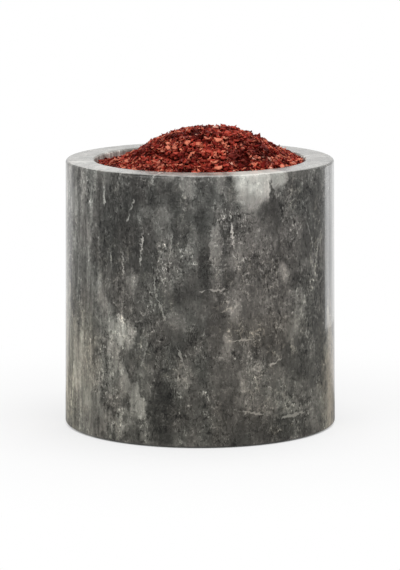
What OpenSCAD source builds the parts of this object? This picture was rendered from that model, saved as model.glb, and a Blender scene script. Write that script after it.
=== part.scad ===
// Open stone cellar: a turned marble pot, filled and heaped with coarse chilli flakes
// Millimetres, +Z up, front towards -Y, origin on the table under the middle of the pot

/* [Pot] */
// Outside width of the stone at its rim
rim_width = 88.8; // [80:0.2:100]
// Outside width of the stone at its foot
foot_width = 90.2; // [81:0.2:101]
// Height of the stone from foot to rim
stone_height = 88; // [70:0.5:110]
// Thickness of the stone wall at the rim
wall = 9.5; // [7:0.5:13]
// Thickness of the stone under the bowl
floor_thick = 15; // [8:0.5:24]
// Radius of the corner between the bowl's wall and its floor
bowl_corner = 16; // [6:0.5:22]
// Radius of the rim's outer edge
rim_round = 1; // [0.6:0.1:3]
// Radius of the rim's inner edge
lip_round = 0.8; // [0.4:0.1:1.5]
// Radius of the foot's edge
foot_round = 0.6; // [0.4:0.1:3]

/* [Foot pads] */
// Number of pads under the foot
pad_count = 3; // [3:1:5]
// Width of one pad
pad_width = 10; // [6:0.5:14]
// Thickness of one pad, which is the gap under the stone
pad_thick = 0.4; // [0.3:0.1:1.5]
// How far the pads lie inside the foot's edge
pad_inset = 8; // [4:0.5:14]

/* [Heap] */
// How far below the rim the chilli meets the wall
fill_drop = 2; // [1.2:0.1:4]
// How much lower than that it lies at the back left, and higher at the front right
fill_slant = 0.8; // [0:0.1:1.5]
// Height of the heap over its edge
heap_rise = 12; // [6:0.2:16]
// How far the heap spreads before it falls to about a third of its height
heap_spread = 24.5; // [20:0.5:28]
// How far the heap's top lies to the right of the pot's middle
heap_shift = 3.5; // [0:0.5:6]
// Height of the low humps on the heap
hump_height = 0.3; // [0:0.05:0.5]
// Distance from one hump to the next
hump_pitch = 13; // [10:0.5:20]
// Gap between the chilli and the stone
packing_gap = 0.3; // [0.2:0.05:0.6]

/* [Flakes] */
// Number of layers of loose flakes on the heap
flake_layers = 2; // [1:1:3]
// Longest width of a flake
flake_length = 3; // [2:0.1:5]
// Thickness of a flake
flake_thick = 0.35; // [0.2:0.05:0.6]
// Least gap between two flakes
flake_space = 0.3; // [0.2:0.05:1]
// Gap between a flake and what lies under it
flake_lift = 0.25; // [0.15:0.05:0.4]
// Most degrees that a flake tips out of the heap's surface
flake_tip = 6; // [0:1:9]

/* [Hidden] */

rim_r = rim_width / 2;
foot_r = foot_width / 2;
bowl_r = rim_r - wall;
foot_z = pad_thick;
rim_z = foot_z + stone_height;
bowl_floor_z = foot_z + floor_thick;

// Degrees that the pot's side leans inwards
side_lean = atan((foot_r - rim_r) / stone_height);
$fn = 96;

// Centres of the rounded edges in the pot's half section, as distance from the axis and height
rim_centre = [side_x(rim_z - rim_round) - rim_round / cos(side_lean), rim_z - rim_round];
foot_centre = [side_x(foot_z + foot_round) - foot_round / cos(side_lean), foot_z + foot_round];
lip_centre = [bowl_r + lip_round, rim_z - lip_round];
corner_centre = [bowl_r - bowl_corner, bowl_floor_z + bowl_corner];

// Outer edge of the chilli and the round of its lower corner, clear of the stone
fill_r = bowl_r - packing_gap;
fill_corner = bowl_corner - packing_gap;

// Facets of the heap: sides round it, rings over its top, and steps round its lower corner
bed_sides = 48;
bed_rings = 12;
bed_corner_steps = 6;

// Top of the heap seen from above, and the way in which the fill slants down
heap_top = [heap_shift, 0];
slant_way = [cos(135), sin(135)];
// Powers that shape the heap: how flat its top is, and how late it turns level at the wall
bell_power = 3;
edge_power = 14;

// A layer's flakes lie on a spiral of equal areas, whose closest places are this share of its step apart
golden_turn = 137.508;
// Degrees that a layer is turned against the one below, so that each flake has one under it
layer_turn = 100;
closest_share = 1.54;
flake_r = flake_length / 2;
flake_step = (flake_length + flake_space) / closest_share;
layer_count = floor(pow((fill_r - flake_r - flake_space) / flake_step, 2));
flake_count = layer_count * flake_layers;
layer_rise = flake_thick + 2 * flake_r * sin(flake_tip) + flake_lift;
// A flake's corners, as shares of its half length, and its width as a share of its length
corner_shares = [1, 0.78, 0.92, 0.97, 0.7, 0.88];
slim_share = 0.84;
smallest_share = 0.8;
// Shares of the flakes that are dark, and that are dark or red
dark_share = 0.34;
red_share = 0.76;
flake_sizes = rands(smallest_share, 1, flake_count, 3);
flake_tips = rands(-flake_tip, flake_tip, flake_count, 5);
flake_spins = rands(0, 360, flake_count, 7);
flake_kinds = rands(0, 1, flake_count, 9);

// Half width of the pot's side at a height
function side_x(z) = rim_r + (rim_z - z) * tan(side_lean);

// Point on a rounded edge, at an angle from straight outwards
function on_round(centre, radius, angle) = centre + radius * [cos(angle), sin(angle)];

// Height of the low humps at a place seen from above
function hump_z(p) =
    hump_height * sin(360 * p.x / hump_pitch) * sin(360 * (p.y + p.x / 2) / hump_pitch);

// Height of the heap's bell above its edge
function bell_z(p) =
    heap_rise * exp(-pow(norm(p - heap_top) / heap_spread, bell_power))
    * (1 - pow(min(norm(p) / fill_r, 1), edge_power));

// Height of the chilli's surface at a place seen from above
function heap_z(p) =
    rim_z - fill_drop - fill_slant * (p * slant_way) / fill_r + bell_z(p) + hump_z(p);

// Slope of the chilli's surface along a direction, measured over one flake
function slope(p, way) = (heap_z(p + flake_r * way) - heap_z(p - flake_r * way)) / flake_length;

// One ring of points, from its radius and a height, or over the heap where the height is undef
function ring(radius, z) = [
    for (i = [0 : bed_sides - 1])
        let (p = radius * [cos(360 * i / bed_sides), sin(360 * i / bed_sides)])
        [p.x, p.y, is_undef(z) ? heap_z(p) : z]
];

// Faces between two rings that follow each other in the list of points, from the upper one's first point
function band(first) = [
    for (i = [0 : bed_sides - 1])
        let (next = (i + 1) % bed_sides)
        each [
            [first + i, first + next, first + bed_sides + next],
            [first + i, first + bed_sides + next, first + bed_sides + i]
        ]
];

module edge_round(centre, radius) {
    translate(centre)
        circle(r = radius);
}

module stone_section() {
    difference() {
        polygon([
            [0, foot_z],
            on_round(foot_centre, foot_round, -90),
            on_round(foot_centre, foot_round, side_lean),
            on_round(rim_centre, rim_round, side_lean),
            on_round(rim_centre, rim_round, 90),
            on_round(lip_centre, lip_round, 90),
            on_round(lip_centre, lip_round, 180),
            on_round(corner_centre, bowl_corner, 0),
            on_round(corner_centre, bowl_corner, -90),
            [0, bowl_floor_z]
        ]);
        edge_round(corner_centre, bowl_corner);
    }
    edge_round(foot_centre, foot_round);
    edge_round(rim_centre, rim_round);
    edge_round(lip_centre, lip_round);
}

module stone_body() {
    color([0.38, 0.38, 0.37])
        rotate_extrude()
            stone_section();
}

// The first pad stands at the back
module foot_pads() {
    color([0.12, 0.12, 0.12])
        for (i = [0 : pad_count - 1])
            rotate([0, 0, 90 + 360 * i / pad_count])
                translate([foot_r - pad_inset - pad_width / 2, 0, 0])
                    cylinder(d = pad_width, h = pad_thick);
}

// A skin of rings over the heap, down the wall and round the bowl's corner, closed at its two middles
module chilli_bed() {
    corner_turns = [for (i = [0 : bed_corner_steps]) -90 * i / bed_corner_steps];
    corner_points = [for (turn = corner_turns) on_round(corner_centre, fill_corner, turn)];
    points = concat(
        [for (i = [1 : bed_rings]) each ring(fill_r * i / bed_rings, undef)],
        [for (p = corner_points) each ring(p.x, p.y)],
        [[0, 0, heap_z([0, 0])], [0, 0, bowl_floor_z + packing_gap]]
    );
    ring_count = bed_rings + bed_corner_steps + 1;
    top_middle = ring_count * bed_sides;
    low_middle = top_middle + 1;
    lowest = (ring_count - 1) * bed_sides;
    faces = concat(
        [for (i = [0 : bed_sides - 1]) [top_middle, (i + 1) % bed_sides, i]],
        [for (k = [0 : ring_count - 2]) each band(k * bed_sides)],
        [for (i = [0 : bed_sides - 1]) [low_middle, lowest + i, lowest + (i + 1) % bed_sides]]
    );
    color([0.34, 0.09, 0.06])
        polyhedron(points, faces);
}

// A flat irregular chip, lying on z = 0
module chip(turn, size_share) {
    reach = flake_r * size_share;
    count = len(corner_shares);
    linear_extrude(flake_thick)
        polygon([
            for (k = [0 : count - 1])
                let (share = corner_shares[(k + turn) % count], angle = 360 * k / count)
                reach * share * [cos(angle), slim_share * sin(angle)]
        ]);
}

// A chip laid on the heap or on the layer below, level with the heap's surface but for its own small tip
module laid_chip(i) {
    layer = floor(i / layer_count);
    place = i % layer_count;
    turn = place * golden_turn + layer * layer_turn;
    p = flake_step * sqrt(place + 0.5) * [cos(turn), sin(turn)];
    fall = -[slope(p, [1, 0]), slope(p, [0, 1])];
    rise = layer * layer_rise + flake_lift + flake_r * sin(abs(flake_tips[i]));
    translate([p.x, p.y, heap_z(p)])
        rotate([0, atan(norm(fall)), atan2(fall.y, fall.x)])
            translate([0, 0, rise])
                rotate([flake_tips[i], 0, flake_spins[i]])
                    chip(i, flake_sizes[i]);
}

// The flakes whose own number lies between two shares
module flakes(from_share, to_share) {
    for (i = [0 : flake_count - 1])
        if (flake_kinds[i] >= from_share && flake_kinds[i] < to_share)
            laid_chip(i);
}

module flakes_dark() {
    color([0.30, 0.07, 0.05])
        flakes(0, dark_share);
}

module flakes_red() {
    color([0.56, 0.16, 0.10])
        flakes(dark_share, red_share);
}

module flakes_orange() {
    color([0.76, 0.32, 0.20])
        flakes(red_share, 1);
}

stone_body();
foot_pads();
chilli_bed();
flakes_dark();
flakes_red();
flakes_orange();
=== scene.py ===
"""An open cellar of polished grey marble, filled and heaped with coarse chilli flakes."""

import math
import random

import bmesh
import bpy
import numpy as np
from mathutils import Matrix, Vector


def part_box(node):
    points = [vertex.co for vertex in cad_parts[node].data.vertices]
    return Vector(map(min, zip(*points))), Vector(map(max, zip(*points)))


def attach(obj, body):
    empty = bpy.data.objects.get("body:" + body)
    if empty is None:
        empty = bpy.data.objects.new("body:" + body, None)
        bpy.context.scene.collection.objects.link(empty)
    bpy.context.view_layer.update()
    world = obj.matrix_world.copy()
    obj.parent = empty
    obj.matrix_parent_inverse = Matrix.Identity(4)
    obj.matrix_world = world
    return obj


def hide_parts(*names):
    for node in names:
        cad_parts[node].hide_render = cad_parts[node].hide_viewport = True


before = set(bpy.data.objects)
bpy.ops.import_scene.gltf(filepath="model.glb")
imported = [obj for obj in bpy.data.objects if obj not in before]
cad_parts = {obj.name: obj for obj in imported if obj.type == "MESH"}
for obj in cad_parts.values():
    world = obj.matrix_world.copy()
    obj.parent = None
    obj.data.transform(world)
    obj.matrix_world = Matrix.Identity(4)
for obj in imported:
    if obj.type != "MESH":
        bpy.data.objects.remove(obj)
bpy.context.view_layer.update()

# Sizes of the pot in metres; its outer size, height and foot come from the frame
MM = 0.001
stone_low, stone_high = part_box("stone_body")
rim_z = stone_high.z
foot_z = stone_low.z
foot_radius = stone_high.x
taper = 0.7 * MM
rim_radius = foot_radius - taper
wall = 9.5 * MM
bowl_radius = rim_radius - wall
bowl_floor_z = foot_z + 15 * MM
bowl_corner = 16 * MM
rim_round = 1 * MM
lip_round = 0.8 * MM
foot_round = 0.6 * MM
# Degrees round the pot to millimetres along its side
MM_PER_DEGREE = math.radians(foot_radius / MM)

# Camera in metres and degrees, fitted to the rim and foot in the photograph
CAMERA_PLACE = (0.0, -1.0987, 0.2304)
CAMERA_DOWN = 9.534
CAMERA_ROLL = -0.087
CAMERA_LENS = 211.3


def new_object(name, data):
    made = bpy.data.objects.new(name, data)
    bpy.context.scene.collection.objects.link(made)
    return made


def mesh_object(name, verts, faces):
    mesh = bpy.data.meshes.new(name)
    mesh.from_pydata(verts, [], faces)
    mesh.shade_smooth()
    return new_object(name, mesh)


def add_camera():
    camera = new_object("camera", bpy.data.cameras.new("camera"))
    camera.data.lens = CAMERA_LENS
    camera.data.sensor_width = 36
    camera.data.clip_start = 0.01
    camera.location = CAMERA_PLACE
    camera.rotation_euler = (math.radians(90 - CAMERA_DOWN), 0, 0)
    camera.rotation_euler.rotate_axis("Z", math.radians(CAMERA_ROLL))
    bpy.context.scene.camera = camera


# Helpers for the node trees


def node(tree, kind, inputs=None, **settings):
    """Adds a node, sets it up, and joins or sets its inputs by name or number."""
    made = tree.nodes.new(kind)
    for name, value in settings.items():
        setattr(made, name, value)
    for name, value in (inputs or {}).items():
        if isinstance(value, bpy.types.NodeSocket):
            tree.links.new(value, made.inputs[name])
        else:
            made.inputs[name].default_value = value
    return made


def maths(tree, operation, *values, clamp=False):
    inputs = dict(enumerate(values))
    return node(tree, "ShaderNodeMath", inputs, operation=operation, use_clamp=clamp).outputs[0]


def plus(tree, first, second):
    return maths(tree, "ADD", first, second)


def minus(tree, first, second):
    return maths(tree, "SUBTRACT", first, second)


def times(tree, first, second):
    return maths(tree, "MULTIPLY", first, second)


def times_plus(tree, first, second, third):
    return maths(tree, "MULTIPLY_ADD", first, second, third)


def vector_maths(tree, operation, first, second):
    """Works on two vectors, or on a vector and the number that scales it."""
    inputs = {0: first, "Scale" if operation == "SCALE" else 1: second}
    return node(tree, "ShaderNodeVectorMath", inputs, operation=operation).outputs[0]


def from_axis(tree, place):
    """How far a place lies from the upright axis."""
    flat = vector_maths(tree, "MULTIPLY", place, (1, 1, 0))
    return node(tree, "ShaderNodeVectorMath", {0: flat}, operation="LENGTH").outputs["Value"]


def stretched(tree, place, scale):
    """The place with its axes scaled, so that a pattern on it is drawn out."""
    return vector_maths(tree, "MULTIPLY", place, scale)


def noise(tree, place, per_mm, detail=2.0, rough=0.5, colour=False):
    inputs = {"Vector": place, "Scale": per_mm, "Detail": detail, "Roughness": rough}
    return node(tree, "ShaderNodeTexNoise", inputs).outputs["Color" if colour else "Fac"]


def cells(tree, place, per_mm, feature="F1", output="Distance", **more):
    """A pattern of cells: the way to a cell's middle or edge, or the cell's own colour."""
    inputs = {"Vector": place, "Scale": per_mm, **more}
    return node(tree, "ShaderNodeTexVoronoi", inputs, feature=feature).outputs[output]


def fade(tree, value, start, end, low=0.0, high=1.0):
    """A soft step from low to high as value goes from start to end."""
    inputs = {"Value": value, "From Min": start, "From Max": end, "To Min": low, "To Max": high}
    return node(tree, "ShaderNodeMapRange", inputs, interpolation_type="SMOOTHSTEP").outputs[0]


def mix_colour(tree, share, first, second, blend="MIX"):
    inputs = {0: share, 6: first, 7: second}
    return node(tree, "ShaderNodeMix", inputs, data_type="RGBA", blend_type=blend).outputs[2]


def shader_group(name, inputs, outputs):
    """A shader node group with named inputs and outputs, and its two end nodes."""
    group = bpy.data.node_groups.new(name, "ShaderNodeTree")
    kinds = {"value": "NodeSocketFloat", "vector": "NodeSocketVector", "colour": "NodeSocketColor"}
    for label, kind, start in inputs:
        socket = group.interface.new_socket(label, in_out="INPUT", socket_type=kinds[kind])
        if start is not None:
            socket.default_value = start
    for label, kind in outputs:
        group.interface.new_socket(label, in_out="OUTPUT", socket_type=kinds[kind])
    start = group.nodes.new("NodeGroupInput").outputs
    end = group.nodes.new("NodeGroupOutput").inputs
    return group, start, end


def use_group(tree, group, inputs):
    return node(tree, "ShaderNodeGroup", inputs, node_tree=group).outputs


def new_material(name, preview):
    material = bpy.data.materials.new(name)
    material.use_nodes = True
    material.diffuse_color = preview
    tree = material.node_tree
    tree.nodes.clear()
    return material, tree


def place_in_mm(tree):
    return vector_maths(tree, "SCALE", tree.nodes.new("ShaderNodeTexCoord").outputs["Object"], 1 / MM)


def surface(tree, colour, rough, normal, ior=1.5):
    """The shader itself, with what is even all over set on its own sockets."""
    inputs = {"Base Color": colour, "Roughness": rough, "IOR": ior, "Normal": normal}
    shader = node(tree, "ShaderNodeBsdfPrincipled", inputs)
    node(tree, "ShaderNodeOutputMaterial", {"Surface": shader.outputs[0]})


def bump(tree, height, distance):
    return node(tree, "ShaderNodeBump", {"Height": height, "Distance": distance}).outputs[0]


# Shared effects


def make_round_place():
    """Turns a place in millimetres into degrees from the front and a height."""
    outputs = [("Degrees", "value"), ("Height", "value")]
    group, start, end = shader_group("place round the pot", [("Place", "vector", None)], outputs)
    split = node(group, "ShaderNodeSeparateXYZ", {0: start["Place"]}).outputs
    turn = maths(group, "ARCTAN2", split[0], times(group, split[1], -1.0))
    group.links.new(maths(group, "DEGREES", turn), end["Degrees"])
    group.links.new(split[2], end["Height"])
    return group


def make_cloud():
    """One oval mark in the stone: it draws the tone towards its own."""
    group, start, end = shader_group(
        "mark in the stone",
        [
            ("Degrees", "value", 0), ("Height", "value", 0), ("Tone", "value", 0), ("Fray", "value", 0),
            ("Middle degrees", "value", 0), ("Middle height", "value", 0),
            ("Half width", "value", 1), ("Half height", "value", 1),
            ("Turn", "value", 0), ("Softness", "value", 1), ("Own tone", "value", 0),
        ],
        [("Tone", "value")],
    )
    away = minus(group, start["Degrees"], start["Middle degrees"])
    across = times(group, maths(group, "WRAP", away, 180.0, -180.0), MM_PER_DEGREE)
    up = minus(group, start["Height"], start["Middle height"])
    cosine = maths(group, "COSINE", start["Turn"])
    sine = maths(group, "SINE", start["Turn"])
    back_sine = times(group, sine, -1.0)
    along = times_plus(group, across, cosine, times(group, up, sine))
    over = times_plus(group, across, back_sine, times(group, up, cosine))
    along = maths(group, "DIVIDE", along, start["Half width"])
    over = maths(group, "DIVIDE", over, start["Half height"])
    far = times_plus(group, over, over, times(group, along, along))
    far = plus(group, far, start["Fray"])
    soft = start["Softness"]
    mask = fade(group, far, minus(group, 1.0, soft), plus(group, 1.0, soft), 1.0, 0.0)
    change = minus(group, start["Own tone"], start["Tone"])
    group.links.new(times_plus(group, mask, change, start["Tone"]), end["Tone"])
    return group


def make_edge_wear():
    """A mask that rises towards the rim's outer edge and the foot's edge, broken up by noise."""
    group, start, end = shader_group(
        "edge wear",
        [("Place", "vector", None), ("Height", "value", 0), ("Amount", "value", 1)],
        [("Wear", "value")],
    )
    height = start["Height"]
    rim = rim_z / MM
    near_foot = fade(group, height, foot_z / MM, foot_z / MM + 2.5, 1.0, 0.0)
    near_rim = fade(group, height, rim - 2.5, rim - 0.6)
    under_rim = fade(group, height, rim - 0.4, rim - 0.1, 1.0, 0.0)
    near = maths(group, "MAXIMUM", near_foot, times(group, near_rim, under_rim))
    broken = fade(group, noise(group, start["Place"], 0.9, 4.0, 0.6), 0.42, 0.62)
    group.links.new(times(group, times(group, near, broken), start["Amount"]), end["Wear"])
    return group


def make_chilli_skin():
    """Colour and small wrinkles of dried chilli skin, from a flake's own tint."""
    group, start, end = shader_group(
        "chilli skin",
        [
            ("Place", "vector", None), ("Tint", "value", 0.5), ("Shade", "value", 0),
            ("Deep colour", "colour", None), ("Light colour", "colour", None),
            ("Fleck colour", "colour", None), ("Fleck share", "value", 0.02),
        ],
        [("Colour", "colour"), ("Wrinkles", "value"), ("Gloss", "value")],
    )
    place = start["Place"]
    blotches = noise(group, place, 0.7, 3.0, 0.6)
    patches = noise(group, place, 0.15, 1.0)
    wrinkles = noise(group, place, 2.6, 3.0, 0.6)
    spread = times_plus(group, patches, 2.2, -2.45)
    spread = times_plus(group, blotches, 1.4, spread)
    spread = times_plus(group, wrinkles, 1.4, spread)
    # The clumps' shade lightens or darkens the skin; in the dark clumps it is partly painted shade
    spread = times_plus(group, start["Shade"], 0.8, spread)
    share = maths(group, "ADD", start["Tint"], spread, clamp=True)
    skin = mix_colour(group, share, start["Deep colour"], start["Light colour"])
    # Flecks are chips in a pale colour: partly paler flesh, partly a painted highlight standing for glints
    # on the waxy skin
    pale_fleck_and_glint_start = minus(group, 1.0, start["Fleck share"])
    is_pale_fleck_and_glint = maths(group, "GREATER_THAN", start["Tint"], pale_fleck_and_glint_start)
    group.links.new(mix_colour(group, is_pale_fleck_and_glint, skin, start["Fleck colour"]), end["Colour"])
    group.links.new(wrinkles, end["Wrinkles"])
    group.links.new(noise(group, place, 1.3), end["Gloss"])
    return group


round_place = make_round_place()
cloud = make_cloud()
edge_wear = make_edge_wear()
chilli_skin = make_chilli_skin()

# Marks of the marble as degrees from the front, height, half width and half height in millimetres,
# softness from 0 to 1, and tone, where 0 is the stone's middle grey, and then degrees of turn, if any.
# Each tone of 0.7 doubles the brightness, and each of -0.7 halves it.
# The broad pale marks at the far left and right are partly pale stone and partly painted light: they stand
# for the bright reflections down the pot's sides and make up for the weaker light there
BROAD_CLOUDS_AND_PAINTED_EDGE_LIGHT = (
    (-64, 44, 14, 60, 1, 0.52),
    (-62, 14, 13, 20, 1, 0.95),
    (-84, 12, 6, 22, 1, 1.75),
    (-79, 42, 4.2, 18, 1, 1.5),
    (-77, 82, 4, 9, 1, 1.15),
    (75, 12, 8, 22, 1, 1.35),
    (71, 30, 3, 14, 1, 1.05),
)
DARK_CLOUDS = (
    (-33, 60, 7, 8, 1, -0.3),
    (-25, 55, 3.5, 4, 1, -0.35),
    (-11, 66, 4, 5, 1, -0.15),
    (-2, 52, 4.5, 3.5, 1, -0.5),
    (-17, 46, 3, 4, 1, -0.3),
    (3, 13, 3.6, 4.5, 1, -0.45),
    (55, 64, 3.2, 6, 1, -0.5),
    (30, 27, 2.6, 2.6, 1, -0.4),
    (20, 11, 4, 2, 1, -0.65),
    (43, 81, 4, 3, 1, -0.3),
    (32, 46, 9, 11, 1, 0.2),
    (33, 19, 7, 6, 0.9, 0.36),
    (-38, 20, 5, 6, 0.8, 0.75),
    (-66, 66, 2, 7, 0.8, 0.75),
    (-28, 84, 4, 6, 0.8, -0.55),
    (-17, 81, 4.5, 3.5, 0.8, -0.5),
    (0, 75, 1.6, 4, 0.8, -0.45),
    (11, 71, 2, 2.5, 0.8, -0.45),
    (20, 75, 2.6, 2, 0.8, -0.5),
    (48, 77, 4, 3.6, 0.8, -0.38),
    (-18, 49, 1.6, 6, 0.8, -0.32, 10),
    (20, 11, 3, 2.2, 0.8, -0.45),
    (-38, 71, 6.5, 11, 0.8, -0.5),
    (-30, 65, 4, 9, 0.9, -0.4),
    (-21, 64, 2.8, 9, 0.9, -0.48),
    (-44, 64, 3, 9, 0.9, -0.28),
    (-12, 84, 2.6, 5.5, 0.7, -0.62),
    (-10, 74, 1, 14, 0.9, -0.35),
    (-8.5, 51, 2, 8.5, 0.8, -0.42),
    (-16, 12, 4, 12, 0.8, -0.9),
    (-22, 45, 3, 7, 1, -0.24),
    (-29.5, 27, 2.4, 4, 0.6, -0.2, -20),
    (5, 38, 4, 7, 1, -0.3),
    (1, 28, 4, 8, 1, -0.25),
    (12, 54, 2.2, 3.2, 0.8, -0.52),
    (14, 17, 2, 4.5, 0.9, -0.35),
    (19, 5, 5, 5, 0.9, -0.35),
    (33, 4, 6, 5, 0.9, -0.6),
    (33, 77, 2.8, 4.5, 0.7, -0.4),
    (19, 71.5, 5, 2.2, 0.7, -0.38, 15),
    (33, 34, 3, 4, 0.9, -0.2),
    (44, 26, 5.5, 5.5, 0.9, -0.35),
    (45, 53, 4.5, 2.8, 0.8, -0.42, 20),
    (52, 65, 3.4, 8, 0.9, -0.34),
    (60, 34, 3, 9, 1, -0.2),
)
PALE_CLOUDS = (
    (-41, 39, 3, 2.6, 0.9, 1.05, -30),
    (-68, 76, 2.4, 5, 0.9, 1.25),
    (-58, 22, 2.6, 4, 0.9, 1.05),
    (-28, 24, 1.8, 2.2, 0.9, 0.45),
    (-36, 12, 5, 2, 0.9, 0.6, -30),
    (8, 86, 2.4, 4, 0.9, 0.75),
    (30, 65, 3.4, 3, 0.9, 0.5),
    (48, 58, 3, 2.6, 0.9, 0.4),
    (62, 62, 2, 4, 0.9, 0.55),
    (50, 17, 3, 3, 0.9, 0.25),
    (57, 8, 4, 4, 0.9, 0.5),
    (19, 22, 2.6, 3, 0.9, 0.75),
    (38, 13, 6, 1.6, 0.9, 0.5),
    (44, 38, 2.6, 3, 0.8, 0.65, 10),
    (-77, 35, 4, 14, 1, 1.5),
    (-58, 85, 2.4, 8, 0.8, 0.85),
    (-57, 74, 2, 8, 0.9, 0.45),
    (-56, 55, 6.4, 1.9, 0.9, 0.6, -32),
    (-45, 47, 5.6, 2.2, 0.9, 0.8, -62),
    (-34, 36.5, 5.2, 5.6, 0.6, 1.1),
    (-38, 29, 2.8, 4.8, 0.7, 0.98, 20),
    (-34, 22, 7, 2.6, 0.7, 0.95, -58),
    (-27.5, 14, 2.6, 6, 0.6, 1.05, 12),
    (-36, 5, 2.6, 3.6, 0.8, 0.75),
    (-29, 53, 2.1, 3.8, 0.9, 0.76),
    (-54, 16, 2.5, 8.5, 0.6, 1.15),
    (-62, 26, 2.2, 3.2, 0.8, 1.1),
    (-67, 18, 3, 4, 0.7, 1.4, 20),
    (-70, 33, 3.4, 8, 0.9, 1.00, -25),
    (-44, 7, 2.8, 4, 0.8, 0.85),
    (-55, 87, 4.4, 3, 0.9, 0.7),
    (-12, 88, 3.4, 2.2, 0.8, 0.5),
    (20, 28, 1.8, 8, 0.9, 0.4),
    (55, 86, 4, 3, 0.9, 0.35),
    (38, 45, 2.4, 4, 0.9, 0.42),
    (-64, 7, 2, 3.4, 0.8, 0.8),
    (-16, 74, 3, 8, 1, 0.32),
    (-12, 60, 3, 9, 1, 0.44),
    (-5, 85, 2.6, 4.6, 0.8, 0.8),
    (-3, 66, 2.2, 7, 0.9, 0.42),
    (-10, 42, 2.7, 3.4, 1, 0.44),
    (-7, 22, 3, 5, 1, 0.6),
    (15, 64, 2.8, 6.6, 0.9, 0.66),
    (25, 67, 5, 5, 1, 0.42, 20),
    (14, 47, 2.6, 5.6, 0.9, 0.6),
    (11, 33, 1.7, 4.4, 0.8, 0.76),
    (22, 18, 5, 7, 1, 0.48),
    (24, 25.5, 2, 2.6, 0.6, 0.9),
    (42, 69, 4.4, 4.4, 1, 0.36, -30),
    (37, 56, 2.1, 3.2, 0.8, 0.8, 20),
    (46.5, 45, 2.5, 5.6, 0.7, 0.6, 12),
    (39.5, 37, 2.2, 5, 0.8, 0.52, 20),
    (55, 55, 2, 6, 0.9, 0.46),
    (62, 12, 5, 4.4, 0.9, 0.55),
    (26, 12, 6, 1, 0.8, 0.45, -28),
    (48, 10.6, 11, 1.2, 0.8, 0.5, 3),
)
SHARP_MARKS = (
    (6.4, 65, 1.8, 8, 0.3, 0.8),
    (6.4, 56, 1.6, 4.5, 0.5, 0.45),
    (1.6, 57, 1.8, 9, 0.4, -0.7),
    (20.3, 78, 3.8, 7, 0.9, 0.6, 4),
    (21.5, 83, 5.0, 6, 0.6, 1.25),
    (23.4, 88, 7.3, 5.5, 0.7, 1.95),
    (27, 85, 3.6, 6, 0.8, 1.8, 30),
    (35, 88, 3.6, 4.6, 0.7, 1.45),
    (31.5, 79.5, 0.9, 6.4, 0.6, -0.25, 3),
    (32.5, 76, 3.6, 4.2, 0.7, -0.45),
)
# Thin pale veins, given the same way
VEINS = (
    (13, 73, 0.3, 6, 0.8, 1.7, 6),
    (-43.7, 80, 0.34, 2.8, 0.8, 1.6),
    (-52, 79, 0.3, 5, 0.8, 1.1),
    (-35, 38, 0.3, 4, 0.8, 1.2, 14),
    (-12, 66, 0.26, 3.4, 0.8, 1.1, -6),
    (33, 27, 2.4, 0.34, 0.8, 1.4, 20),
    (17, 35, 4.4, 0.3, 0.8, 1.2, 4),
    (-8, 30, 0.26, 3.4, 0.8, 1.0, 20),
    (-30.5, 75.5, 0.3, 3.6, 0.8, 1.4, -20),
    (-24.8, 65, 0.32, 4.6, 0.8, 1.5, -4),
    (-40, 61, 0.26, 3.2, 0.8, 1.2, 4),
    (-33.7, 58, 0.3, 4.2, 0.8, 1.4),
    (-19.4, 88, 0.34, 3.6, 0.8, 1.3, -20),
    (-19, 53, 0.26, 5.2, 0.8, 1.1, 6),
    (-16.5, 46, 0.26, 5, 0.8, 1.1, 22),
    (-24, 28, 0.3, 4, 0.8, 1.1, -12),
    (-68.5, 17, 0.5, 5, 0.8, 1.9, -6),
    (-62, 19, 0.4, 4, 0.8, 1.6, 4),
    (5, 51.6, 4.6, 0.32, 0.8, 1.2, 3),
    (-4, 86, 0.24, 4, 0.8, 1.0),
    (54, 66, 0.3, 6, 0.8, 1.1, 22),
    (58, 58, 0.3, 6, 0.8, 1.1, -14),
    (22, 11, 6, 0.32, 0.8, 1.1, -12),
    (44, 8.6, 9, 0.3, 0.8, 1.1, 3),
    (63, 11.5, 4, 0.3, 0.8, 0.9, 30),
)
# Where the net of veins is gathered, whose tone is how strongly it shows
VEIN_PATCHES = (
    (18, 38, 9, 3.4, 0.8, 1.3, -3),
    (34, 30.5, 3.8, 2.4, 0.8, 1.5),
    (43.3, 31, 2.2, 3.6, 0.8, 1.2),
    (57, 63, 3, 14, 0.8, 1.2, -6),
    (-11, 26, 4.4, 4, 0.8, 1.0),
    (-24, 30, 2.6, 6, 0.8, 1.0),
    (10, 57, 4, 4, 0.8, 0.9),
    (10, 46, 4, 3, 0.8, 1.0),
    (44, 80, 3.4, 6, 0.8, 1.0),
    (28, 56, 12, 9, 1, 0.6),
    (30, 17, 9, 9, 1, 0.7),
    (-38, 62, 8, 8, 1, 0.8),
    (-16, 48, 3, 8, 1, 0.9, 20),
    (-8, 80, 2, 6, 1, 0.9),
    (38, 5, 6, 2, 1, 1.3),
    (60, 43, 2, 8, 1, 0.9),
)
# Beige stains, whose tone is how warm they are
WARM_STAINS = (
    (-73, 16, 8, 26, 1, 1.0),
    (-58, 26, 8, 18, 1, 0.7),
    (74, 14, 10, 26, 1, 1.0),
    (30, 37, 14, 6, 1, 0.45),
)
# Faintly brown places, given the same way
BROWN_STAINS = (
    (30, 52, 20, 26, 1, 1.0),
    (10, 40, 6, 16, 1, 0.9),
    (-34, 52, 4, 10, 1, 0.7),
    (16, 14, 10, 10, 1, 0.8),
    (52, 30, 9, 30, 1, 0.3),
    (-24, 10, 8, 12, 1, 0.1),
    (76, 20, 6, 30, 1, 1.0),
)
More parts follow.
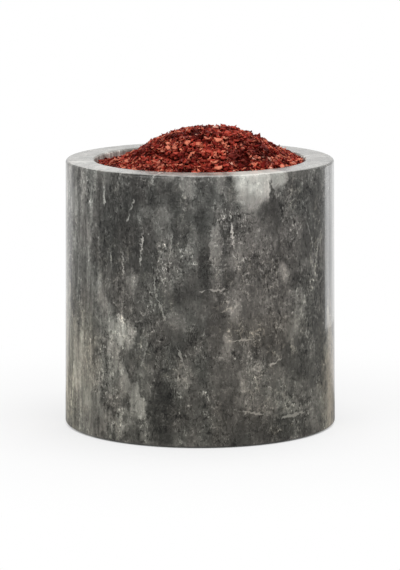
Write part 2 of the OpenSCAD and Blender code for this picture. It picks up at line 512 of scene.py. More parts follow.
# Short strokes: how the place is stretched, how many to a millimetre, width, and how pale or dark
STROKES = (
    ((1, 1, 0.4), 0.42, 0.030, 0.95),
    ((1.1, 0.93, 0.7), 0.66, 0.040, 0.75),
    ((0.95, 1.1, 0.35), 0.36, 0.034, -1.05),
    ((1.07, 1.02, 0.6), 0.70, 0.045, -0.85),
)
# The softer marks lie once over this many degrees in front, and once more, squeezed and lower, behind
FRONT_START = -98.0
FRONT_TURN = 190.0
BACK_DROP = 14.0
# Colour of the stone's middle grey, and what its cooler and warmer places turn it to
MIDDLE_GREY = 0.095
COOL = (1.01, 1.0, 0.92, 1)
WARM = (1.07, 1.0, 0.79, 1)


def twice_round(tree, degrees, height):
    """Degrees and height at which the softer marks are laid, in front and again at the back."""
    turn = maths(tree, "WRAP", minus(tree, degrees, FRONT_START), 360.0, 0.0)
    behind = maths(tree, "GREATER_THAN", turn, FRONT_TURN)
    squeeze = FRONT_TURN / (360.0 - FRONT_TURN) - 1.0
    turn = times_plus(tree, behind, -FRONT_TURN, turn)
    turn = times(tree, turn, times_plus(tree, behind, squeeze, 1.0))
    turn = plus(tree, turn, FRONT_START)
    return turn, times_plus(tree, behind, BACK_DROP, height)


def swayed(tree, value, place, per_mm, reach, channel, detail=2.0):
    """A degree or height pushed to and fro by noise, so that no mark has a drawn edge."""
    colours = noise(tree, place, per_mm, detail, colour=True)
    push = node(tree, "ShaderNodeSeparateColor", {0: colours}).outputs[channel]
    return plus(tree, value, times_plus(tree, push, 2 * reach, -reach))


def mark_places(tree, place):
    """A place's own degrees and height, and those at which each kind of mark is laid."""
    own = use_group(tree, round_place, {"Place": place})
    degrees, height = own["Degrees"], own["Height"]
    turn, rise = twice_round(tree, degrees, height)
    sway = swayed(tree, swayed(tree, 0.0, place, 0.16, 2.5, 0), place, 0.75, 1.7, 0)
    lift = swayed(tree, swayed(tree, 0.0, place, 0.14, 2.5, 1), place, 0.7, 1.8, 1)
    return {
        "own": (degrees, height),
        "broad": (plus(tree, degrees, sway), plus(tree, height, lift)),
        "soft": (plus(tree, turn, sway), plus(tree, rise, lift)),
        "sharp": (swayed(tree, degrees, place, 0.5, 2.0, 0), swayed(tree, height, place, 0.5, 1.5, 1)),
        "thin": (swayed(tree, turn, place, 0.9, 1.6, 0, 3.0), swayed(tree, rise, place, 0.9, 1.2, 1, 3.0)),
    }


def lay_marks(tree, tone, laid_at, fray, marks):
    """Lays one mark after another on the tone, each with an edge that wisps of the stone fray."""
    for middle, up, half_width, half_height, soft, own, *turn in marks:
        inputs = {
            "Degrees": laid_at[0], "Height": laid_at[1], "Tone": tone, "Fray": fray,
            "Middle degrees": middle, "Middle height": up,
            "Half width": half_width, "Half height": half_height,
            "Turn": math.radians(sum(turn)), "Softness": soft, "Own tone": own,
        }
        tone = use_group(tree, cloud, inputs)["Tone"]
    return tone


def net_of_veins(tree, place, per_mm, width):
    """Thin lines where the cells of a shaken pattern meet, as a mask."""
    edge = cells(tree, stretched(tree, place, (1, 1, 0.7)), per_mm, "DISTANCE_TO_EDGE")
    return fade(tree, edge, 0.3 * width * per_mm, width * per_mm, 1.0, 0.0)


def shaken(tree, place, per_mm, reach):
    """The place pushed to and fro by noise, by up to half the reach."""
    push = noise(tree, place, per_mm, colour=True)
    push = vector_maths(tree, "SCALE", vector_maths(tree, "SUBTRACT", push, (0.5, 0.5, 0.5)), reach)
    return vector_maths(tree, "ADD", place, push)


def strokes(tree, place, scale, per_mm, width):
    """Short thin lines along which a stretched noise passes its middle value, as a mask."""
    winding = noise(tree, stretched(tree, place, scale), per_mm, 3.0, 0.55)
    off = maths(tree, "ABSOLUTE", minus(tree, winding, 0.5))
    line = fade(tree, off, 0.3 * width, width, 1.0, 0.0)
    shown = noise(tree, stretched(tree, place, tuple(reversed(scale))), 1.3 * per_mm)
    return times(tree, line, fade(tree, shown, 0.5, 0.6))


def laid_tone(tree, place, places, fray):
    """The stone's tone from its clouds, its blotches and the marks that are listed."""
    # Clouds run all round, but are weaker in front, where the listed marks are laid
    polish_glow_and_painted_shadow = fade(tree, maths(tree, "ABSOLUTE", places["own"][0]), 66.0, 92.0, 0.8, 2.0)
    big = noise(tree, stretched(tree, place, (1, 1, 0.55)), 0.075, 3.0, 0.55)
    tone = times(tree, minus(tree, big, 0.49), polish_glow_and_painted_shadow)

    # Rounded blotches, each with its own tone and a darker seam round it
    bent = shaken(tree, shaken(tree, place, 0.1, 9.0), 0.6, 2.2)
    bent = stretched(tree, bent, (1, 1, 0.6))
    shades = cells(tree, bent, 0.14, "SMOOTH_F1", "Color", Smoothness=0.45)
    own = node(tree, "ShaderNodeSeparateColor", {0: shades}).outputs[0]
    tone = times_plus(tree, minus(tree, own, 0.5), 0.62, tone)
    seam = cells(tree, bent, 0.14, "DISTANCE_TO_EDGE")
    tone = plus(tree, tone, fade(tree, seam, 0.0, 0.2, -0.22, 0.05))

    tone = lay_marks(tree, tone, places["broad"], fray, BROAD_CLOUDS_AND_PAINTED_EDGE_LIGHT)
    tone = lay_marks(tree, tone, places["soft"], fray, DARK_CLOUDS + PALE_CLOUDS)
    return lay_marks(tree, tone, places["sharp"], times(tree, fray, 0.25), SHARP_MARKS)


def add_grain(tree, tone, place, degrees):
    """Adds streaks, mottling, grain and strokes: misty in some places and crisp in others."""
    from_left = maths(tree, "WRAP", plus(tree, degrees, 90.0), 180.0, -180.0)
    from_left = maths(tree, "ABSOLUTE", from_left)
    streaky = fade(tree, from_left, 35.0, 90.0, 2.9, 0.6)
    fine_streaky = fade(tree, from_left, 35.0, 90.0, 1.3, 0.5)
    calm = fade(tree, tone, 0.2, 1.4, 1.0, 0.25)
    crisp = fade(tree, noise(tree, stretched(tree, place, (1, 1, 0.6)), 0.1, 3.0), 0.4, 0.62, 0.35, 1.0)
    crisp = times(tree, crisp, calm)
    # How upright each layer is drawn out, how many to a millimetre, detail, where it shows and how strongly
    layers = (
        (0.12, 0.30, 3.0, streaky, 1.0),
        (0.14, 0.95, 2.0, fine_streaky, 1.0),
        (0.8, 0.21, 4.0, calm, 1.7),
        (0.6, 0.75, 3.0, crisp, 1.7),
        (0.45, 2.2, 2.0, crisp, 2.6),
    )
    for upright, per_mm, detail, shown, amount in layers:
        speckle = noise(tree, stretched(tree, place, (1, 1, upright)), per_mm, detail, 0.6)
        speckle = times(tree, minus(tree, speckle, 0.5), shown)
        tone = times_plus(tree, speckle, amount, tone)
    for scale, per_mm, width, amount in STROKES:
        drawn = strokes(tree, place, scale, per_mm, width)
        drawn = times(tree, drawn, plus(tree, crisp, 0.15))
        tone = times_plus(tree, drawn, amount, tone)
    return tone


def add_veins(tree, tone, place, places, fray):
    """Adds short broken veins, strewn and gathered in patches, and crystals; gives the veins' mask."""
    squiggly = shaken(tree, shaken(tree, place, 0.3, 3.0), 1.1, 1.3)
    gather = fade(tree, noise(tree, stretched(tree, place, (1, 1, 0.6)), 0.09), 0.5, 0.72, 0.0, 0.6)
    gather = lay_marks(tree, gather, places["soft"], fray, VEIN_PATCHES)
    broken = fade(tree, noise(tree, stretched(tree, place, (1, 1, 0.7)), 0.45, 3.0, 0.6), 0.42, 0.56)
    gather = times(tree, gather, broken)
    fine = net_of_veins(tree, squiggly, 0.34, 0.2)
    wide = net_of_veins(tree, squiggly, 0.16, 0.26)
    lines = times(tree, maths(tree, "MAXIMUM", fine, wide), gather)
    tone = times_plus(tree, lines, 0.75, tone)
    dots = fade(tree, cells(tree, squiggly, 0.7), 0.06, 0.2, 1.0, 0.0)
    many = fade(tree, noise(tree, place, 0.25, 3.0, 0.6), 0.5, 0.62)
    tone = times_plus(tree, times(tree, dots, many), 0.15, tone)
    return lay_marks(tree, tone, places["thin"], times(tree, fray, 3.0), VEINS), lines


def marble_colour(tree, tone, place, places, fray, lines, worn):
    """The tone as a grey, warmer low down, beige and brown in the stains, and paler where it is worn."""
    warmth = fade(tree, places["own"][1], 5.0, 85.0, 0.42, 0.02)
    warmth = lay_marks(tree, warmth, places["broad"], fray, WARM_STAINS)
    hue = mix_colour(tree, times_plus(tree, lines, 0.35, warmth), COOL, WARM)
    brown = fade(tree, noise(tree, stretched(tree, place, (1, 1, 0.6)), 0.16, 3.0), 0.35, 0.65, 0.0, 0.6)
    brown = lay_marks(tree, brown, places["soft"], fray, BROWN_STAINS)
    hue = mix_colour(tree, 1.0, hue, mix_colour(tree, brown, (0.99, 1, 1, 1), (1.06, 1, 1, 1)), "MULTIPLY")
    bright = times(tree, maths(tree, "EXPONENT", tone), MIDDLE_GREY)
    bright = times_plus(tree, worn, 0.08, bright)
    grey = node(tree, "ShaderNodeCombineColor", {0: bright, 1: bright, 2: bright}).outputs[0]
    return mix_colour(tree, 1.0, grey, hue, "MULTIPLY")


def make_marble():
    material, tree = new_material("polished marble", (0.13, 0.13, 0.125, 1))
    place = place_in_mm(tree)
    places = mark_places(tree, place)
    degrees, height = places["own"]
    wisps = noise(tree, stretched(tree, place, (1, 1, 0.55)), 0.4, 4.0, 0.6)
    fray = times_plus(tree, wisps, 2.6, -1.3)
    tone = laid_tone(tree, place, places, fray)
    tone = add_grain(tree, tone, place, degrees)
    tone, lines = add_veins(tree, tone, place, places, fray)

    # The bowl is ground and the rim's flat is honed, so their stone is paler, duller and more even; the
    # paler rim flat is partly honed stone and partly a painted highlight, standing for the bright reflection
    # that the flat takes
    ground = fade(tree, from_axis(tree, place), bowl_radius / MM + 0.1, bowl_radius / MM + 0.6, 1.0, 0.0)
    tone = times_plus(tree, ground, 1.6, tone)
    honed_flat_and_painted_highlight = fade(tree, height, rim_z / MM - 0.25, rim_z / MM - 0.05)
    even = times_plus(tree, tone, -0.45, 1.2)
    tone = times_plus(tree, honed_flat_and_painted_highlight, even, tone)
    worn = use_group(tree, edge_wear, {"Place": place, "Height": height, "Amount": 0.4})[0]
    colour = marble_colour(tree, tone, place, places, fray, lines, worn)
    rough = fade(tree, noise(tree, place, 0.25, 3.0), 0.35, 0.7, 0.05, 0.10)
    for where, duller in ((worn, 0.25), (ground, 0.35), (honed_flat_and_painted_highlight, 0.14)):
        rough = times_plus(tree, where, duller, rough)
    pits = times_plus(tree, noise(tree, place, 1.6, 3.0), 0.3, noise(tree, place, 0.2, 1.0))
    surface(tree, colour, rough, bump(tree, pits, 0.00002), ior=1.52)
    return material


def make_chilli(name, preview, deep, light, pale_fleck_and_glint, pale_fleck_and_glint_share, rough=0.42, ior=1.3):
    material, tree = new_material(name, preview)
    place = place_in_mm(tree)
    tint = node(tree, "ShaderNodeAttribute", attribute_name="tint").outputs["Fac"]
    shade = node(tree, "ShaderNodeAttribute", attribute_name="shade").outputs["Fac"]
    skin = use_group(tree, chilli_skin, {
        "Place": place, "Tint": tint, "Shade": shade, "Deep colour": deep, "Light colour": light,
        "Fleck colour": pale_fleck_and_glint, "Fleck share": pale_fleck_and_glint_share,
    })
    roughness = fade(tree, skin["Gloss"], 0.3, 0.7, rough - 0.14, rough + 0.14)
    surface(tree, skin["Colour"], roughness, bump(tree, skin["Wrinkles"], 0.00025), ior=ior)
    return material


def make_rubber():
    material, tree = new_material("pad rubber", (0.02, 0.02, 0.02, 1))
    place = place_in_mm(tree)
    dust = noise(tree, place, 1.5, 4.0, 0.6)
    colour = mix_colour(tree, fade(tree, dust, 0.4, 0.75), (0.016, 0.016, 0.017, 1), (0.045, 0.043, 0.04, 1))
    surface(tree, colour, fade(tree, dust, 0.3, 0.7, 0.7, 0.9), bump(tree, dust, 0.00005))
    return material


marble = make_marble()
# The last colour and share of each chilli are its pale flecks: partly paler flesh, partly painted highlight
# for glints
packed = make_chilli(
    "packed chilli", (0.05, 0.008, 0.005, 1),
    (0.045, 0.003, 0.0015, 1), (0.14, 0.012, 0.008, 1), (0.1, 0.02, 0.01, 1), 0.0, 0.6, 1.12)
dark_skin = make_chilli(
    "dark chilli", (0.07, 0.01, 0.007, 1),
    (0.055, 0.003, 0.0015, 1), (0.25, 0.020, 0.014, 1), (0.38, 0.08, 0.04, 1), 0.01, 0.5, 1.12)
red_skin = make_chilli(
    "red chilli", (0.25, 0.03, 0.014, 1),
    (0.12, 0.008, 0.004, 1), (0.56, 0.066, 0.037, 1), (0.74, 0.28, 0.18, 1), 0.015, 0.42, 1.2)
orange_skin = make_chilli(
    "orange chilli", (0.5, 0.11, 0.05, 1),
    (0.20, 0.016, 0.008, 1), (0.92, 0.27, 0.155, 1), (0.92, 0.46, 0.34, 1), 0.045)
rubber = make_rubber()


# Turned stone


def arc(centre, radius, start, end, steps):
    """Points on a rounded edge of the half section, between two angles in degrees."""
    angles = np.radians(np.linspace(start, end, steps + 1))
    return [(centre[0] + radius * math.cos(a), centre[1] + radius * math.sin(a)) for a in angles]


def line(start, end, steps):
    """Points between two others, both left out."""
    shares = [(i + 1) / (steps + 1) for i in range(steps)]
    return [tuple(np.array(start) * (1 - s) + np.array(end) * s) for s in shares]


def lathe(name, profile, sides):
    """Turns a half section round the upright axis and closes it at both middles."""
    turns = [math.tau * i / sides for i in range(sides)]
    verts = [(r * math.cos(a), r * math.sin(a), z) for r, z in profile[1:-1] for a in turns]
    low = len(verts)
    verts += [(0, 0, profile[0][1]), (0, 0, profile[-1][1])]
    rows = len(profile) - 2
    faces = []
    for row in range(rows - 1):
        for i in range(sides):
            j = (i + 1) % sides
            here = row * sides
            faces.append((here + i, here + j, here + sides + j, here + sides + i))
    last = (rows - 1) * sides
    for i in range(sides):
        j = (i + 1) % sides
        faces.append((low, j, i))
        faces.append((low + 1, last + i, last + j))
    return mesh_object(name, verts, faces)


def stone_profile():
    lean = math.degrees(math.atan((foot_radius - rim_radius) / (rim_z - foot_z)))

    def side(z):
        return rim_radius + (rim_z - z) * math.tan(math.radians(lean))

    in_lean = math.cos(math.radians(lean))
    foot_middle = (side(foot_z + foot_round) - foot_round / in_lean, foot_z + foot_round)
    rim_middle = (side(rim_z - rim_round) - rim_round / in_lean, rim_z - rim_round)
    lip_middle = (bowl_radius + lip_round, rim_z - lip_round)
    corner_middle = (bowl_radius - bowl_corner, bowl_floor_z + bowl_corner)
    foot = arc(foot_middle, foot_round, -90, lean, 6)
    rim = arc(rim_middle, rim_round, lean, 90, 14)
    lip = arc(lip_middle, lip_round, 90, 180, 6)
    corner = arc(corner_middle, bowl_corner, 0, -90, 16)
    return (
        [(0, foot_z)] + line((0, foot_z), foot[0], 3) + foot + line(foot[-1], rim[0], 24) + rim
        + line(rim[-1], lip[0], 3) + lip + line(lip[-1], corner[0], 12) + corner
        + line(corner[-1], (0, bowl_floor_z), 3) + [(0, bowl_floor_z)]
    )


def finish_piece(piece, material, slot, *nodes):
    """Gives a piece its material and its body, and hides the nodes it stands for. The slot is not used."""
    piece.data.materials.clear()
    piece.data.materials.append(material)
    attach(piece, "root")
    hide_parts(*nodes)


def make_pot():
    pot = lathe("marble_pot", stone_profile(), 256)
    finish_piece(pot, marble, "polished_marble", "stone_body")


def merged_copy(node_name, name):
    """A copy of a CAD node's mesh with its loose triangles joined."""
    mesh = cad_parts[node_name].data.copy()
    mesh.materials.clear()
    shape = bmesh.new()
    shape.from_mesh(mesh)
    bmesh.ops.remove_doubles(shape, verts=shape.verts, dist=1e-6)
    shape.to_mesh(mesh)
    shape.free()
    mesh.name = name
    return mesh


def make_pads():
    """The pads with a worn, rounded edge, cut from copies of the plain ones."""
    mesh = merged_copy("foot_pads", "rubber_pads")
    pads = new_object("rubber_pads", mesh)
    bevel = pads.modifiers.new("rounded edge", "BEVEL")
    bevel.width = 0.12 * MM
    bevel.segments = 3
    bevel.limit_method = "ANGLE"
    bevel.angle_limit = math.radians(50)
    finish_piece(pads, rubber, "pad_rubber", "foot_pads")


# Chilli


# The heap's surface is what lies over this height and faces upwards by at least this much
HEAP_LOW = rim_z - 5 * MM
HEAP_SLOPE = 0.2


def plain_mesh(piece):
    """The piece with its modifiers turned into a plain mesh."""
    seen = piece.evaluated_get(bpy.context.evaluated_depsgraph_get())
    mesh = bpy.data.meshes.new_from_object(seen)
    piece.modifiers.clear()
    old = piece.data
    piece.data = mesh
    bpy.data.meshes.remove(old)
    return piece


def on_flank(x):
    """1 in the middle of the heap's right flank, which lies lower than its solid, and 0 well beside it."""
    return math.exp(-((x - 21 * MM) / (9 * MM)) ** 2)


def heap_skin():
    """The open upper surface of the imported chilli, on which the flakes are laid."""
    mesh = merged_copy("chilli_bed", "heap_skin")
    shape = bmesh.new()
    shape.from_mesh(mesh)
    bed_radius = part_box("chilli_bed")[1].x
    under = [
        f for f in shape.faces
        if f.normal.z < HEAP_SLOPE or f.calc_center_median().z < HEAP_LOW
        or f.calc_center_median().xy.length > bed_radius - 0.4 * MM
    ]
    bmesh.ops.delete(shape, geom=under, context="FACES")
    for vert in shape.verts:
        vert.co.z -= (0.2 + 0.9 * on_flank(vert.co.x)) * MM
    shape.to_mesh(mesh)
    shape.free()
    return new_object("heap_skin", mesh)


def chip_mesh(name, dice):
    """One torn, curled scrap of skin, one unit long: an upper and a lower face with a thin edge."""
    corners = 8
    reach = [dice.uniform(0.30, 0.54) for _ in range(corners)]
    slim = dice.uniform(0.42, 0.88)
    curl = dice.uniform(0.2, 0.9) * dice.choice((-1, 1))
    twist = dice.uniform(-0.5, 0.5)
    thick = dice.uniform(0.08, 0.16)
    rings = [(0.0, 1), (0.55, corners), (1.0, corners)]

    def lifted(x, y, up):
        crease = 0.05 * math.sin(9 * x + 4 * y + 3 * twist)
        return (x, y, up * thick / 2 + curl * x * x + twist * x * y + crease)

    verts = []
    for up in (1, -1):
        for share, count in rings:
            for k in range(count):
                angle = math.tau * k / corners
                r = reach[k] * share
                verts.append(lifted(r * math.cos(angle), r * slim * math.sin(angle), up))
    layer = 1 + 2 * corners
    faces = []
    for k in range(corners):
        j = (k + 1) % corners
        for first, way in ((0, 1), (layer, -1)):
            fan = (first, first + 1 + k, first + 1 + j)
            band = (first + 1 + k, first + 1 + corners + k, first + 1 + corners + j, first + 1 + j)
            faces += [fan[::way], band[::way]]
        edge = 1 + corners
        faces.append((edge + k, layer + edge + k, layer + edge + j, edge + j))
    mesh = bpy.data.meshes.new(name)
    mesh.from_pydata(verts, [], faces)
    return mesh


def crumb_mesh(name, dice):
    """A small broken grain, one unit long."""
    tips = [(1, 0, 0), (0, 1, 0), (-1, 0, 0), (0, -1, 0), (0, 0, 1), (0, 0, -1)]
    verts = [tuple(0.5 * c * dice.uniform(0.6, 1.0) for c in tip) for tip in tips]
    verts = [(x, y, z * 0.6) for x, y, z in verts]
    faces = [(k, (k + 1) % 4, 4) for k in range(4)] + [((k + 1) % 4, k, 5) for k in range(4)]
    mesh = bpy.data.meshes.new(name)
    mesh.from_pydata(verts, [], faces)
    return mesh


def template_collection(name, maker, count, seed):
    dice = random.Random(seed)
    collection = bpy.data.collections.new(name)
    for i in range(count):
        mesh = maker(f"{name}_{i}", dice)
        collection.objects.link(bpy.data.objects.new(mesh.name, mesh))
    return collection


def random_value(tree, kind, low, high, seed):
    """A random value for each point, of kind FLOAT or FLOAT_VECTOR."""
    first, given_at = (0, 0) if kind == "FLOAT_VECTOR" else (2, 1)
    inputs = {first: low, first + 1: high, 8: seed}
    return node(tree, "FunctionNodeRandomValue", inputs, data_type=kind).outputs[given_at]


def make_scatter():
    """Geometry nodes that strew torn scraps over a surface, tipped, piled and each with its own tint."""
    tree = bpy.data.node_groups.new("strewn scraps", "GeometryNodeTree")
    tree.interface.new_socket("Geometry", in_out="OUTPUT", socket_type="NodeSocketGeometry")
    sockets = {}
    for label, kind, start in (
        ("Surface", "Geometry", None), ("Scraps", "Collection", None), ("Material", "Material", None),
        ("Per square metre", "Float", 1e6), ("Shortest", "Float", 0.001), ("Longest", "Float", 0.003),
        ("Lowest", "Float", 0.0), ("Highest", "Float", 0.001), ("Tip", "Float", 0.5),
        ("Wobble", "Float", 0.0002), ("Clump", "Vector", (0, 0, 0)), ("Seed", "Int", 1),
    ):
        socket = tree.interface.new_socket(label, in_out="INPUT", socket_type="NodeSocket" + kind)
        sockets[label] = socket.identifier
        if start is not None:
            socket.default_value = start
    given = tree.nodes.new("NodeGroupInput").outputs

    def seeded(number):
        return plus(tree, given["Seed"], number)

    # More scraps lie in some places than in others
    place = tree.nodes.new("GeometryNodeInputPosition").outputs[0]
    patchy = noise(tree, vector_maths(tree, "ADD", place, given["Clump"]), 115.0, 1.0)
    share = node(tree, "ShaderNodeMapRange", {0: patchy, 1: 0.4, 2: 0.6, 3: 0.3, 4: 1.7}).outputs[0]
    density = times(tree, share, given["Per square metre"])
    spread = node(tree, "GeometryNodeDistributePointsOnFaces", {
        "Mesh": given["Surface"], "Density": density, "Seed": given["Seed"],
    }, distribute_method="RANDOM").outputs
    lift = random_value(tree, "FLOAT", given["Lowest"], given["Highest"], seeded(1))
    lift = vector_maths(tree, "SCALE", spread["Normal"], lift)
    piled = node(tree, "GeometryNodeSetPosition", {"Geometry": spread["Points"], "Offset": lift}).outputs[0]

    tip = given["Tip"]
    back = times(tree, tip, -1.0)
    tip_low = node(tree, "ShaderNodeCombineXYZ", {0: back, 1: back, 2: 0.0}).outputs[0]
    tip_high = node(tree, "ShaderNodeCombineXYZ", {0: tip, 1: tip, 2: math.tau}).outputs[0]
    tipped = random_value(tree, "FLOAT_VECTOR", tip_low, tip_high, seeded(2))
    turn = node(tree, "FunctionNodeEulerToRotation", {0: tipped}).outputs[0]
    turned = node(tree, "FunctionNodeRotateRotation", {0: spread["Rotation"], 1: turn},
                  rotation_space="LOCAL").outputs[0]
    length = random_value(tree, "FLOAT", given["Shortest"], given["Longest"], seeded(3))
    shape = random_value(tree, "FLOAT_VECTOR", (0.8, 0.6, 0.7), (1.1, 1.1, 1.2), seeded(4))
    scraps = node(tree, "GeometryNodeCollectionInfo", {
        "Collection": given["Scraps"], "Separate Children": True, "Reset Children": True,
    }).outputs[0]
    laid = node(tree, "GeometryNodeInstanceOnPoints", {
        "Points": piled, "Instance": scraps, "Pick Instance": True, "Rotation": turned,
        "Scale": vector_maths(tree, "SCALE", shape, length),
    }).outputs[0]
    tint = random_value(tree, "FLOAT", 0.0, 1.0, seeded(5))
    tinted = node(tree, "GeometryNodeStoreNamedAttribute", {
        "Geometry": laid, "Name": "tint", "Value": tint,
    }, data_type="FLOAT", domain="INSTANCE").outputs[0]
    real = node(tree, "GeometryNodeRealizeInstances", {0: tinted}).outputs[0]
    bend = vector_maths(tree, "SUBTRACT", noise(tree, place, 420.0, 1.0, colour=True), (0.5, 0.5, 0.5))
    bend = vector_maths(tree, "SCALE", bend, given["Wobble"])
    bent = node(tree, "GeometryNodeSetPosition", {"Geometry": real, "Offset": bend}).outputs[0]
    paint = {"Geometry": bent, "Material": given["Material"]}
    node(tree, "NodeGroupOutput", {0: node(tree, "GeometryNodeSetMaterial", paint).outputs[0]})
    return tree, sockets


scatter, scatter_sockets = make_scatter()
chips = template_collection("chip", chip_mesh, 14, 21)
crumbs = template_collection("crumb", crumb_mesh, 5, 22)


def strew(skin, name, values):
    """Strews one kind of scrap over the heap and returns it as a plain mesh piece."""
    piece = new_object(name, skin.data.copy())
    spread = piece.modifiers.new("strewn scraps", "NODES")
    spread.node_group = scatter
    for label, value in values.items():
        spread[scatter_sockets[label]] = value
    return plain_mesh(piece)


def joined(name, parts):
    """Joins the meshes of some pieces into a new piece, and removes the old ones."""
    shape = bmesh.new()
    for part in parts:
        shape.from_mesh(part.data)
    mesh = bpy.data.meshes.new(name)
    shape.to_mesh(mesh)
    shape.free()
    for part in parts:
        bpy.data.objects.remove(part)
    return new_object(name, mesh)


def vertex_places(mesh):
    """The places of a mesh's vertices, one in a row."""
    places = np.empty(len(mesh.vertices) * 3)
    mesh.vertices.foreach_get("co", places)
    return places.reshape(-1, 3)


def keep_inside(mesh, clear):
    """Draws in what would cut into the stone below the rim's lip."""
    places = vertex_places(mesh)
    far = np.hypot(places[:, 0], places[:, 1])
    lip = np.clip((places[:, 2] - (rim_z - lip_round)) / lip_round, 0, 1)
    room = bowl_radius - clear + lip_round * (1 - np.sqrt(1 - lip ** 2))
    over = np.where(places[:, 2] < rim_z + 0.1 * MM, np.minimum(1, room / np.maximum(far, MM)), 1)
    places[:, :2] *= over[:, None]
    mesh.vertices.foreach_set("co", places.ravel())
    mesh.update()


def make_bed():
    """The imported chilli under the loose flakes, with a lumpy top."""
    mesh = merged_copy("chilli_bed", "packed_chilli")
    bed = new_object("packed_chilli", mesh)
    finer = bed.modifiers.new("finer", "SUBSURF")
    finer.subdivision_type = "SIMPLE"
    finer.levels = 2
    finer.render_levels = 2
    plain_mesh(bed)
    shape = bmesh.new()
    shape.from_mesh(bed.data)
    for vert in shape.verts:
        if vert.co.z > HEAP_LOW and vert.normal.z > HEAP_SLOPE:
            lump = math.sin(vert.co.x * 2100 + 3 * math.sin(vert.co.y * 900))
            lump *= math.sin(vert.co.y * 1900 + 2 * math.sin(vert.co.x * 1300))
            vert.co.z += 0.4 * MM * (lump - 2.6 - 2.2 * on_flank(vert.co.x))
    shape.to_mesh(bed.data)
    shape.free()
    tint = bed.data.attributes.new("tint", "FLOAT", "POINT")
    tint.data.foreach_set("value", np.full(len(bed.data.vertices), 0.4, dtype=np.float32))
    finish_piece(bed, packed, "packed_chilli", "chilli_bed")


# Name, material, slot, node, chips and crumbs per square metre, seed, and where the kind clumps
FLAKE_KINDS = (
    ("dark_flakes", dark_skin, "dark_chilli", "flakes_dark", 4.0e5, 3.0e5, 11, (0.3, 0, 0)),
    ("red_flakes", red_skin, "red_chilli", "flakes_red", 4.8e5, 3.4e5, 37, (0, 0.5, 0)),
    ("orange_flakes", orange_skin, "orange_chilli", "flakes_orange", 3.2e5, 2.6e5, 53, (0, 0, 0.7)),
)
# How chips and crumbs lie on the heap: lengths, heights and wobble in metres, and tip in radians
CHIP_LAY = {
    "Shortest": 1.2 * MM, "Longest": 3.2 * MM, "Lowest": -0.7 * MM, "Highest": 0.7 * MM,
    "Tip": 0.42, "Wobble": 0.8 * MM,
}
CRUMB_LAY = {
    "Shortest": 0.4 * MM, "Longest": 1.0 * MM, "Lowest": -0.4 * MM, "Highest": 0.6 * MM,
    "Tip": 1.5, "Wobble": 0.1 * MM,
}
# Clumps of like colour, whose dark ones are partly painted shade where the heap's lumps shadow each other:
# place seen from above, half width and half depth in millimetres, and shade, where dark ones are below 0 and
# pale ones above
CLUMPS_AND_PAINTED_SHADE = (
    (1, -12.5, 3.4, 3, -0.9),
    (14, -22, 4.5, 3, -0.9),
    (-1, -24, 5, 2.2, -0.7),
    (-18.5, -11, 3, 4, -0.6),
    (16, -14, 6, 4.5, -0.8),
    (-7, -2, 3, 4, -0.4),
    (21, -9, 3, 3, -0.6),
    (9, -26, 3, 1.5, -0.5),
    (8.6, -8.7, 5, 3, 0.7),
    (2, -18, 3.5, 2.5, 0.7),
    (-15.5, 2, 2.5, 3, 0.6),
    (-2.5, -27, 3, 1.5, 0.4),
    (-8.4, -15.4, 5, 3, 0.35),
    (19.5, -24, 5, 1.5, 0.7),
    (-18.8, -20.3, 5, 1.8, 0.6),
    (25, -16, 2.5, 3, 0.4),
    (9.2, -19, 2.5, 2, 0.5),
    (16, -6, 4, 3, 0.5),
)


def shade_clumps(mesh):
    """Writes the clumps' shade on a mesh's points: like colour, with painted shade in the dark clumps."""
    places = vertex_places(mesh) / MM
    shade = np.zeros(len(places))
    for x, y, half_width, half_depth, own in CLUMPS_AND_PAINTED_SHADE:
        far = ((places[:, 0] - x) / half_width) ** 2 + ((places[:, 1] - y) / half_depth) ** 2
        shade += own * np.exp(-far)
    mesh.attributes.new("shade", "FLOAT", "POINT").data.foreach_set("value", shade.astype(np.float32))


def make_flakes():
    skin = heap_skin()
    for name, material, slot, node_name, chip_count, crumb_count, seed, clump in FLAKE_KINDS:
        own = {"Material": material, "Clump": clump}
        loose = strew(skin, name + "_chips", {
            **CHIP_LAY, **own, "Scraps": chips, "Per square metre": chip_count, "Seed": seed,
        })
        small = strew(skin, name + "_crumbs", {
            **CRUMB_LAY, **own, "Scraps": crumbs, "Per square metre": crumb_count, "Seed": seed + 100,
        })
        piece = joined(name, [loose, small])
        piece.data.shade_smooth()
        keep_inside(piece.data, 0.15 * MM)
        shade_clumps(piece.data)
        finish_piece(piece, material, slot, node_name)
    bpy.data.objects.remove(skin)


# Table, backdrop and light


def mix_shader(tree, share, first, second):
    return node(tree, "ShaderNodeMixShader", {0: share, 1: first, 2: second}).outputs[0]


def behind_strength(tree, way):
    """How bright the surroundings look in the polish: white behind the pot, dim in front of it."""
    split = node(tree, "ShaderNodeSeparateXYZ", {0: way}).outputs
    turn = maths(tree, "DEGREES", maths(tree, "ARCTAN2", split[0], split[1]))
    left = fade(tree, turn, -52.0, -38.0, 0.3, 0.8)
    behind = fade(tree, turn, -28.0, -18.0, 0.0, 0.2)
    right = fade(tree, turn, 40.0, 62.0, 0.0, -0.7)
    return plus(tree, plus(tree, left, behind), right)


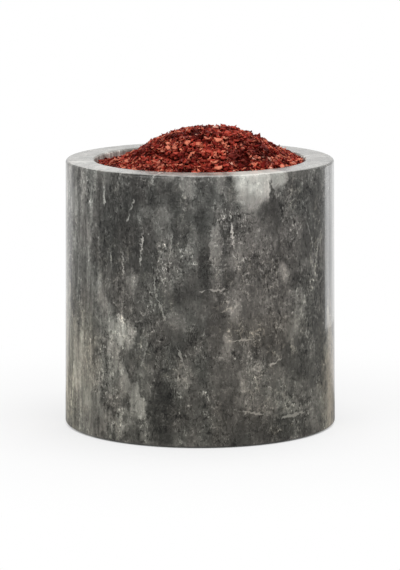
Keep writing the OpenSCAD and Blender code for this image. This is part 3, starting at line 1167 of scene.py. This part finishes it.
def make_table():
    """A plain white table: it takes the pot's shadow near it and fades to white further out."""
    half = 6.0
    verts = [(-half, -half, 0), (half, -half, 0), (half, half, 0), (-half, half, 0)]
    table = mesh_object("table", verts, [(0, 1, 2, 3)])
    material, tree = new_material("white table", (1, 1, 1, 1))
    place = tree.nodes.new("ShaderNodeTexCoord").outputs["Object"]
    far = from_axis(tree, place)
    paint = node(tree, "ShaderNodeBsdfDiffuse", {"Color": (0.95, 0.95, 0.95, 1)}).outputs[0]
    white = node(tree, "ShaderNodeEmission", {"Strength": 1.0}).outputs[0]
    shadow = times(tree, fade(tree, far, 0.0435, 0.0456), fade(tree, far, 0.045, 0.15, 0.7))
    seen = mix_shader(tree, shadow, paint, white)
    # The table's glow in the polish is dimmed near the pot: a painted shadow of the pot, seen in the
    # reflection
    polish_glow_and_painted_shadow = times(tree, behind_strength(tree, place), fade(tree, far, 0.05, 0.3, 0.75))
    mirrored = node(tree, "ShaderNodeEmission", {"Strength": polish_glow_and_painted_shadow}).outputs[0]
    path = tree.nodes.new("ShaderNodeLightPath").outputs
    mixed = mix_shader(tree, path["Is Camera Ray"], paint, seen)
    mixed = mix_shader(tree, path["Is Glossy Ray"], mixed, mirrored)
    node(tree, "ShaderNodeOutputMaterial", {"Surface": mixed})
    table.data.materials.append(material)


def make_world():
    world = bpy.data.worlds.new("studio")
    bpy.context.scene.world = world
    world.use_nodes = True
    tree = world.node_tree
    tree.nodes.clear()
    way = tree.nodes.new("ShaderNodeTexCoord").outputs["Generated"]
    strengths = (0.55, 1.0, behind_strength(tree, way))
    soft, white, polish = (node(tree, "ShaderNodeBackground", {"Strength": s}).outputs[0] for s in strengths)
    path = tree.nodes.new("ShaderNodeLightPath").outputs
    seen = maths(tree, "MAXIMUM", path["Is Camera Ray"], path["Is Transmission Ray"])
    mixed = mix_shader(tree, path["Is Glossy Ray"], mix_shader(tree, seen, soft, white), polish)
    node(tree, "ShaderNodeOutputWorld", {"Surface": mixed})


def add_lamp(name, place, size, power, aim=(0, 0, 0.05)):
    lamp = bpy.data.lights.new(name, "AREA")
    lamp.shape = "RECTANGLE"
    lamp.size, lamp.size_y = size
    lamp.energy = power
    made = new_object(name, lamp)
    made.location = place
    made.rotation_euler = (Vector(aim) - Vector(place)).to_track_quat("-Z", "Y").to_euler()
    made.visible_camera = False
    return made


def add_reflector(name, first, last, low, high, brightness):
    """An upright panel between two places seen from above, that shows in the polish alone."""
    first = Vector((*first, low))
    last = Vector((*last, high))
    across = Vector((last.x - first.x, last.y - first.y, 0))
    size = (across.length, high - low)
    facing = across.cross(Vector((0, 0, 1))).normalized()
    middle = (first + last) / 2
    if facing.dot(middle) > 0:
        facing = -facing
    power = brightness * math.pi * size[0] * size[1]
    panel = add_lamp(name, middle, size, power, middle + facing)
    panel.visible_diffuse = False


def make_light():
    add_lamp("overhead", (0.15, 0.1, 1.5), (0.9, 0.9), 9)
    add_lamp("front left", (-1.0, -1.1, 0.9), (0.9, 0.9), 6)
    add_lamp("front right", (1.1, -1.1, 0.8), (0.9, 0.9), 4)
    add_reflector("right reflector", (0.177, 0.116), (0.1545, 0.1457), 0.0, 0.1, 1.0)
    add_reflector("far right reflector", (0.1545, 0.1457), (0.096, 0.19), 0.0, 0.1, 0.4)
    add_reflector("back reflector", (-0.3, 0.5), (0.3, 0.5), 0.12, 0.5, 0.15)


add_camera()
make_pot()
make_pads()
make_bed()
make_flakes()
make_table()
make_world()
make_light()

bpy.context.scene.view_settings.view_transform = "Standard"
